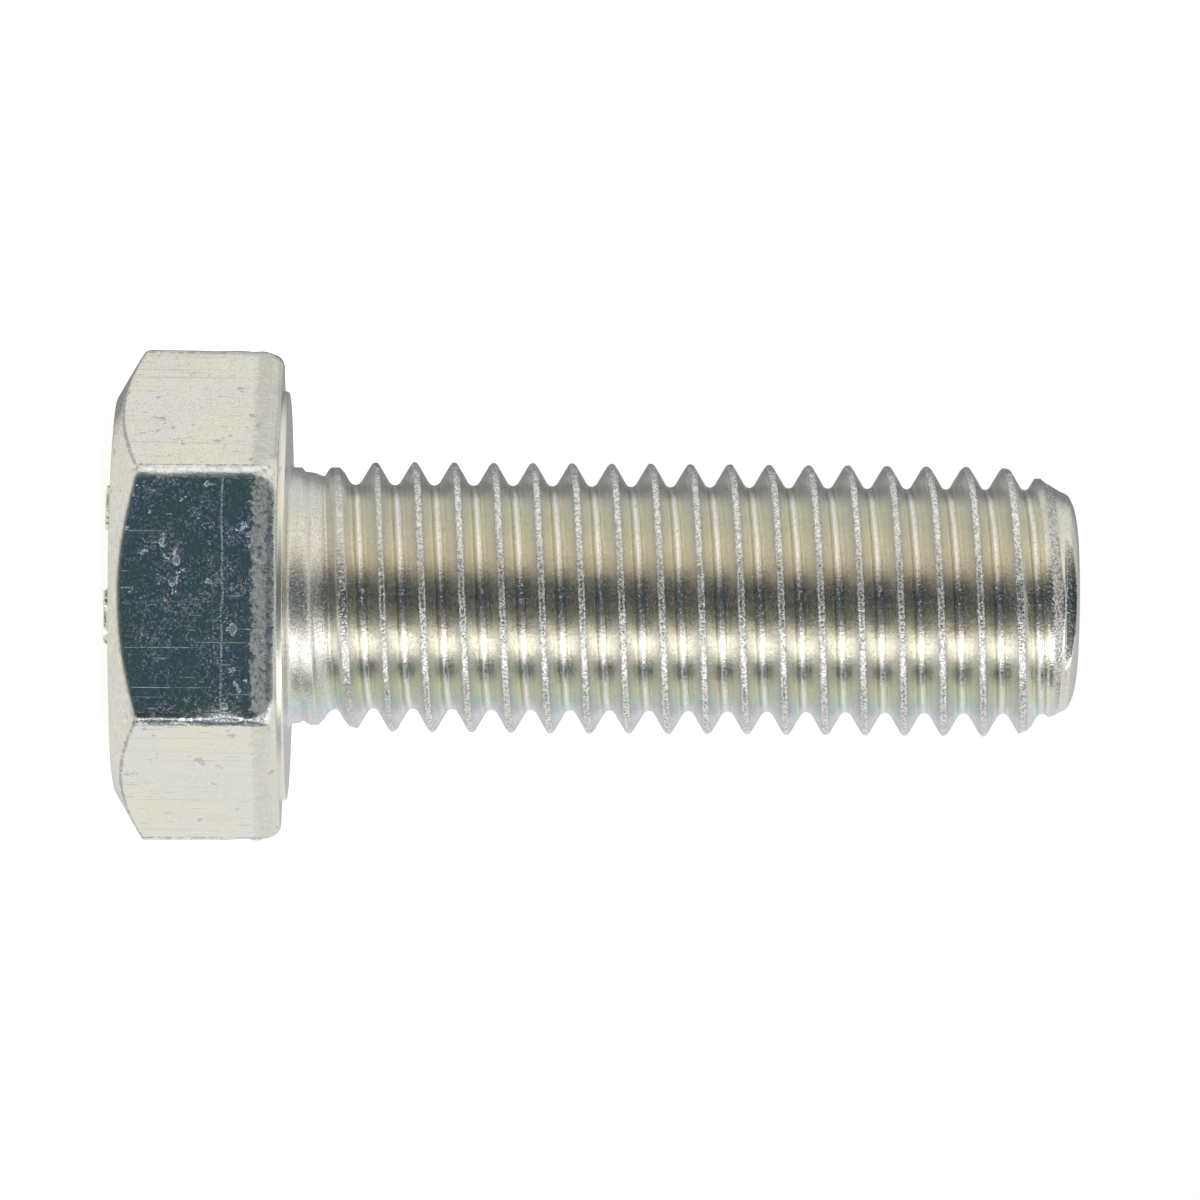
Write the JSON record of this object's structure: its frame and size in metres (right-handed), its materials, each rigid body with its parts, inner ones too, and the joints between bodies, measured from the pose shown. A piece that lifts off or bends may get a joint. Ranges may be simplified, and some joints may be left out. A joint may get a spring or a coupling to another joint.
{
  "type": "hex bolt",
  "caption": "Hexagon head bolt with a coarse metric thread up to the head, a chamfered head top, a washer face under the head and a cone point.",
  "frame": {"origin": "centre of the bearing face under the head", "axes": "+Z along the shank to the tip, so the head is below z = 0 and the bolt stands on its head; two flats of the hexagon face -Y and +Y, and two of its corners are on X"},
  "size_m": [0.0218, 0.019, 0.043],
  "materials": {
    "zinc_plated_steel": "bright zinc plating with a clear, faintly iridescent passivation"
  },
  "bodies": {
    "root": {"hex_bolt": "zinc_plated_steel"}
  },
  "joints": []
}
